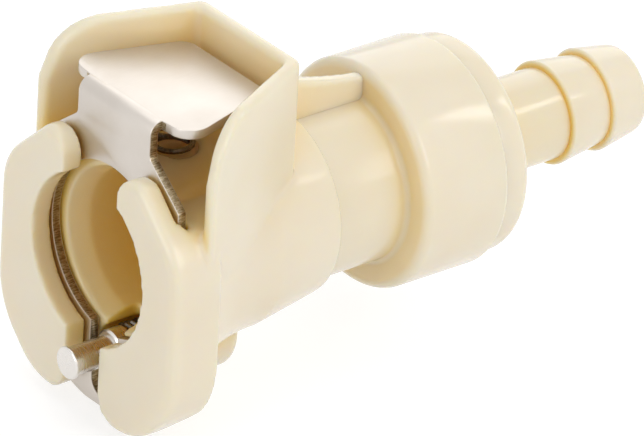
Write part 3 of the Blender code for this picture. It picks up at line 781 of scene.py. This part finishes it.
latch = {
    "front": 2.6, "thickness": 1.0, "halfWidth": 10.5, "neck": 5.65, "neckRadius": 0.9,
    "shoulderTop": 12.8, "shoulderEnd": 9.0, "shoulderRadius": 0.5, "side": 8.6,
    "sideRadius": 0.8, "foot": 7.6, "tabRadius": 17.0, "tabFlat": 2.5,
    "hole": 8.95, "holeRise": 0.45, "keyhole": 2.15, "keyShoulder": 12.45, "keyBlend": 0.3,
    "keyway": 1.72, "keywayEnd": 15.8,
    "padTop": 16.55, "bend": 1.4, "earFoot": 1.2, "earHalfWidth": 9.9, "earStep": 0.05,
    "earRadius": 2.2, "padEnd": 16.1, "padEndHalfWidth": 6.2, "padEndRadius": 1.6,
    "bendSteps": 24, "edge": 0.1, "edgeSegments": 2, "flatLimit": math.radians(0.5),
    "edgeAngle": math.radians(60), "edgeFacing": 0.3,
}
bendMiddle = latch["bend"] - latch["thickness"] / 2
bendLength = math.pi / 2 * bendMiddle
bendStart = latch["padTop"] - latch["bend"]


# The flat blank, with heights counted up the sheet from where the bend starts.
def latchOutline():
    footHeight = math.sqrt(latch["tabRadius"] ** 2 - latch["foot"] ** 2)
    padFront = bendLength + latch["earStep"]
    padBack = latch["padEnd"] - latch["front"] - latch["bend"] + bendLength
    right = rounded([
        (latch["padEndHalfWidth"], padBack, latch["padEndRadius"]),
        (latch["earHalfWidth"], padFront, latch["earRadius"]),
        (latch["neck"] + latch["earFoot"], padFront, 0.0),
        (latch["neck"], bendLength - latch["earStep"], 0.0),
        (latch["neck"], latch["shoulderTop"] - bendStart, latch["neckRadius"]),
        (latch["halfWidth"], latch["shoulderEnd"] - bendStart, latch["shoulderRadius"]),
        (latch["halfWidth"], -latch["side"] - bendStart, latch["sideRadius"]),
        (latch["foot"], -footHeight - bendStart, 0.0),
        (0.0, -footHeight - bendStart, 0.0),
        (0.0, padBack, 0.0),
    ])[:-2]
    below = -math.pi / 2
    footAngle = math.asin(latch["foot"] / latch["tabRadius"])
    flatAngle = math.asin(latch["tabFlat"] / latch["tabRadius"])
    tab = arc(
        (0.0, -bendStart), latch["tabRadius"], below + footAngle, below + flatAngle, 24,
    )
    right += tab[1:]
    return right + [Vector((-y, s)) for y, s in reversed(right)]


def holeOutline():
    below = -math.pi / 2
    mouthAngle = math.asin(latch["keyhole"] / latch["hole"])
    centre = (0.0, latch["holeRise"])
    wide = -latch["keyShoulder"] + latch["keyBlend"]
    narrow = -latch["keyShoulder"] - latch["keyBlend"]
    end = (0.0, -latch["keywayEnd"] + latch["keyway"])
    outline = arc(
        centre, latch["hole"], below + mouthAngle, math.tau + below - mouthAngle, 120,
    )
    outline += [Vector((-latch["keyhole"], wide)), Vector((-latch["keyway"], narrow))]
    outline += arc(end, latch["keyway"], math.pi, math.tau, 24)
    outline += [Vector((latch["keyway"], narrow)), Vector((latch["keyhole"], wide))]
    return [Vector((y, z - bendStart)) for y, z in outline]


# Rolls the blank over its bend: the neck stays upright and the pad comes to lie flat.
def bendOver(bm):
    centre = latch["front"] + latch["bend"]
    for vert in bm.verts:
        radius = centre - vert.co.x
        height = vert.co.z
        if height <= 0:
            vert.co.z = bendStart + height
        elif height < bendLength:
            vert.co.x = centre - radius * math.cos(height / bendMiddle)
            vert.co.z = bendStart + radius * math.sin(height / bendMiddle)
        else:
            vert.co.x = centre + height - bendLength
            vert.co.z = bendStart + radius


def isRim(edge):
    first, second = edge.verts
    sharp = len(edge.link_faces) == 2 and edge.calc_face_angle(0) > latch["edgeAngle"]
    return sharp and abs(first.co.x - second.co.x) < 10 * tiny


# Below the pad, the faces that look sideways out of the sheet carry the marks of the shear, painted
# dark brown as shade.
def markSheared(bm):
    sheared = bm.faces.layers.float.new("sheared")
    for face in bm.faces:
        onPad = face.calc_center_median().z > bendLength
        plain = onPad or abs(face.normal.x) > latch["edgeFacing"]
        face[sheared] = 0.0 if plain else 1.0


def buildLatch():
    front = latch["front"]
    back = front + latch["thickness"]
    blank = prismTool("latchBlank", latchOutline(), onYz, front, back)
    hole = prismTool("latchHole", holeOutline(), onYz, front - overshoot, back + overshoot)
    combine(blank, hole, "DIFFERENCE")
    bm = bmesh.new()
    bm.from_mesh(evaluated(blank, [hole]))
    bmesh.ops.dissolve_limit(bm, angle_limit=latch["flatLimit"], verts=bm.verts, edges=bm.edges)
    bmesh.ops.bevel(
        bm, geom=[edge for edge in bm.edges if isRim(edge)], offset=latch["edge"],
        offset_type="OFFSET", segments=latch["edgeSegments"], profile=0.5, affect="EDGES",
        clamp_overlap=True, material=-1,
    )
    for number in range(latch["bendSteps"] + 1):
        height = bendLength * number / latch["bendSteps"]
        bmesh.ops.bisect_plane(
            bm, geom=bm.verts[:] + bm.edges[:] + bm.faces[:], dist=tiny,
            plane_co=(0.0, 0.0, height), plane_no=(0.0, 0.0, 1.0),
        )
    markSheared(bm)
    bendOver(bm)
    bmesh.ops.recalc_face_normals(bm, faces=bm.faces)
    mesh = bpy.data.meshes.new("latchSheet")
    bm.to_mesh(mesh)
    bm.free()
    return dress("latchSheet", mesh, stainless, "latch", ["thumb_latch"], 30)


buildLatch()
stamp("latch")


# Pin: a low head in front of the plate, a collar that stands in the keyhole, and a tail for
# its spring.

pin = {
    "reach": 1.8, "radius": 1.45, "rim": 0.2, "head": 1.65, "headLength": 0.35, "collarFront": 3.25,
    "collarBack": 5.0, "collar": 1.95, "tail": 0.9, "tailEnd": 9.3,
}


def buildPin():
    front = -pin["reach"]
    rim, tail, shank = pin["rim"], pin["tail"], pin["radius"]
    headBack = front + pin["headLength"]
    collarFront, collarBack = pin["collarFront"], pin["collarBack"]
    profile = [(front, 0.0)]
    profile += arc((front + rim, pin["head"] - rim), rim, math.pi, math.pi / 2, 6)
    profile += [
        (headBack, pin["head"]), (headBack, shank), (collarFront, shank),
        (collarFront, pin["collar"] - rim), (collarFront + rim, pin["collar"]),
        (collarBack, pin["collar"]), (collarBack, tail), (pin["tailEnd"] - rim, tail),
        (pin["tailEnd"], tail - rim), (pin["tailEnd"], 0.0),
    ]
    tool = turnedTool("latchPin", profile, steps=72, shift=(0.0, 0.0, -pinDrop))
    return dress("latchPin", evaluated(tool), pinSteel, "pin", ["latch_pin"], 35)


buildPin()
stamp("pin")


# The springs, the poppet and the two seal rings keep their solids and get their surfaces.

for node, surface in (
    ("latch_spring", springSteel), ("pin_spring", springSteel), ("valve_spring", springSteel),
    ("valve_poppet", valveMaterial), ("poppet_seal", rubber), ("barb_seal", rubber),
):
    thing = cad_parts[node]
    thing.data.materials.clear()
    thing.data.materials.append(surface)
stamp("inner pieces")


# Floor, sky and lights

studio = {
    "floorReach": 1.5, "floorGap": 0.0002, "floorGlow": 0.7, "fill": 0.5, "backdrop": 1.0,
    "aim": (0.0, 0.0, 0.018), "barbAim": (0.023, -0.003, 0.02),
}
white = (1.0, 1.0, 1.0, 1.0)


def larger(tree, first, second):
    node = addNode(tree, "ShaderNodeMath", {"operation": "MAXIMUM"}, n0=first, n1=second)
    return node.outputs[0]


# 1 for rays from the camera, and for those that metal or glass passes on from it.
def seenDirectly(tree):
    rays = addNode(tree, "ShaderNodeLightPath").outputs
    mirrored = larger(tree, rays["Is Glossy Ray"], rays["Is Transmission Ray"])
    return larger(tree, rays["Is Camera Ray"], mirrored)


def mixShaders(tree, share, first, second):
    return addNode(tree, "ShaderNodeMixShader", n0=share, n1=first, n2=second).outputs[0]


# White paper that lights the coupling from below like paper, but shows only a faint shadow.
def buildStage():
    bm = bmesh.new()
    bmesh.ops.create_grid(bm, x_segments=2, y_segments=2, size=studio["floorReach"])
    mesh = bpy.data.meshes.new("studioFloor")
    bm.to_mesh(mesh)
    bm.free()
    floor = bpy.data.objects.new("studioFloor", mesh)
    bpy.context.collection.objects.link(floor)
    floor.location.z = tabFoot - studio["floorGap"]
    made, tree, shader = newMaterial("paperFloorWhite")
    feed(tree, shader, Base_Color=srgb("#F2F2F2"), Roughness=0.9)
    glow = addNode(tree, "ShaderNodeEmission", Color=white, Strength=studio["floorGlow"])
    shade = addNode(tree, "ShaderNodeBsdfDiffuse", Color=srgb("#B4B4B4"))
    paper = addNode(tree, "ShaderNodeAddShader", n0=glow.outputs[0], n1=shade.outputs[0])
    mixed = mixShaders(tree, seenDirectly(tree), shader.outputs[0], paper.outputs[0])
    feed(tree, tree.nodes["Material Output"], Surface=mixed)
    floor.data.materials.append(made)


def buildWorld():
    world = bpy.data.worlds.new("studioWorld")
    bpy.context.scene.world = world
    world.use_nodes = True
    tree = world.node_tree
    tree.nodes.clear()
    seen = addNode(tree, "ShaderNodeBackground", Color=white, Strength=studio["backdrop"])
    fill = addNode(tree, "ShaderNodeBackground", Color=white, Strength=studio["fill"])
    mixed = mixShaders(tree, seenDirectly(tree), fill.outputs[0], seen.outputs[0])
    addNode(tree, "ShaderNodeOutputWorld", Surface=mixed)


def areaLight(name, place, aim, size, power):
    data = bpy.data.lights.new(name, "AREA")
    data.shape = "RECTANGLE"
    data.size, data.size_y = size
    data.energy = power
    lamp = bpy.data.objects.new(name, data)
    bpy.context.collection.objects.link(lamp)
    lamp.location = place
    lamp.visible_camera = False
    lamp.rotation_euler = (Vector(aim) - Vector(place)).to_track_quat("-Z", "Y").to_euler()


buildStage()
buildWorld()
for name, place, aim, size, power in (
    ("keyLight", (0.12, -0.6, 0.42), "aim", (0.5, 0.4), 1.4),
    ("topLight", (0.05, 0.1, 0.7), "aim", (0.6, 0.6), 0.9),
    ("backLight", (0.45, 0.54, 0.38), "aim", (0.6, 0.6), 1.0),
    ("frontLight", (-0.62, -0.1, 0.25), "aim", (0.35, 0.35), 0.8),
    ("barbLight", (0.187, -0.128, 0.185), "barbAim", (0.03, 0.09), 0.045),
):
    areaLight(name, place, studio[aim], size, power)


# The camera looks from the front right and above, as the photograph does. Its place is in the
# pieces' millimetres, and right and up are directions in the frame.
view = {
    "sensor": 36.0, "lens": 559.0, "near": 0.01, "far": 10.0,
    "place": (-515.296, -659.78, 458.095),
    "right": (0.78767, -0.61399, 0.0509), "up": (0.25724, 0.40281, 0.87839),
}


def buildCamera():
    data = bpy.data.cameras.new("photoCamera")
    data.sensor_width = view["sensor"]
    data.sensor_fit = "HORIZONTAL"
    data.lens = view["lens"]
    data.clip_start = view["near"]
    data.clip_end = view["far"]
    camera = bpy.data.objects.new("photoCamera", data)
    bpy.context.collection.objects.link(camera)
    right, upward = Vector(view["right"]), Vector(view["up"])
    turned = Matrix((right, upward, right.cross(upward))).transposed().to_4x4()
    camera.matrix_world = Matrix.Translation(intoFrame @ Vector(view["place"])) @ turned
    bpy.context.scene.camera = camera


buildCamera()
bpy.context.scene.view_settings.view_transform = "Standard"
stamp("stage and camera")
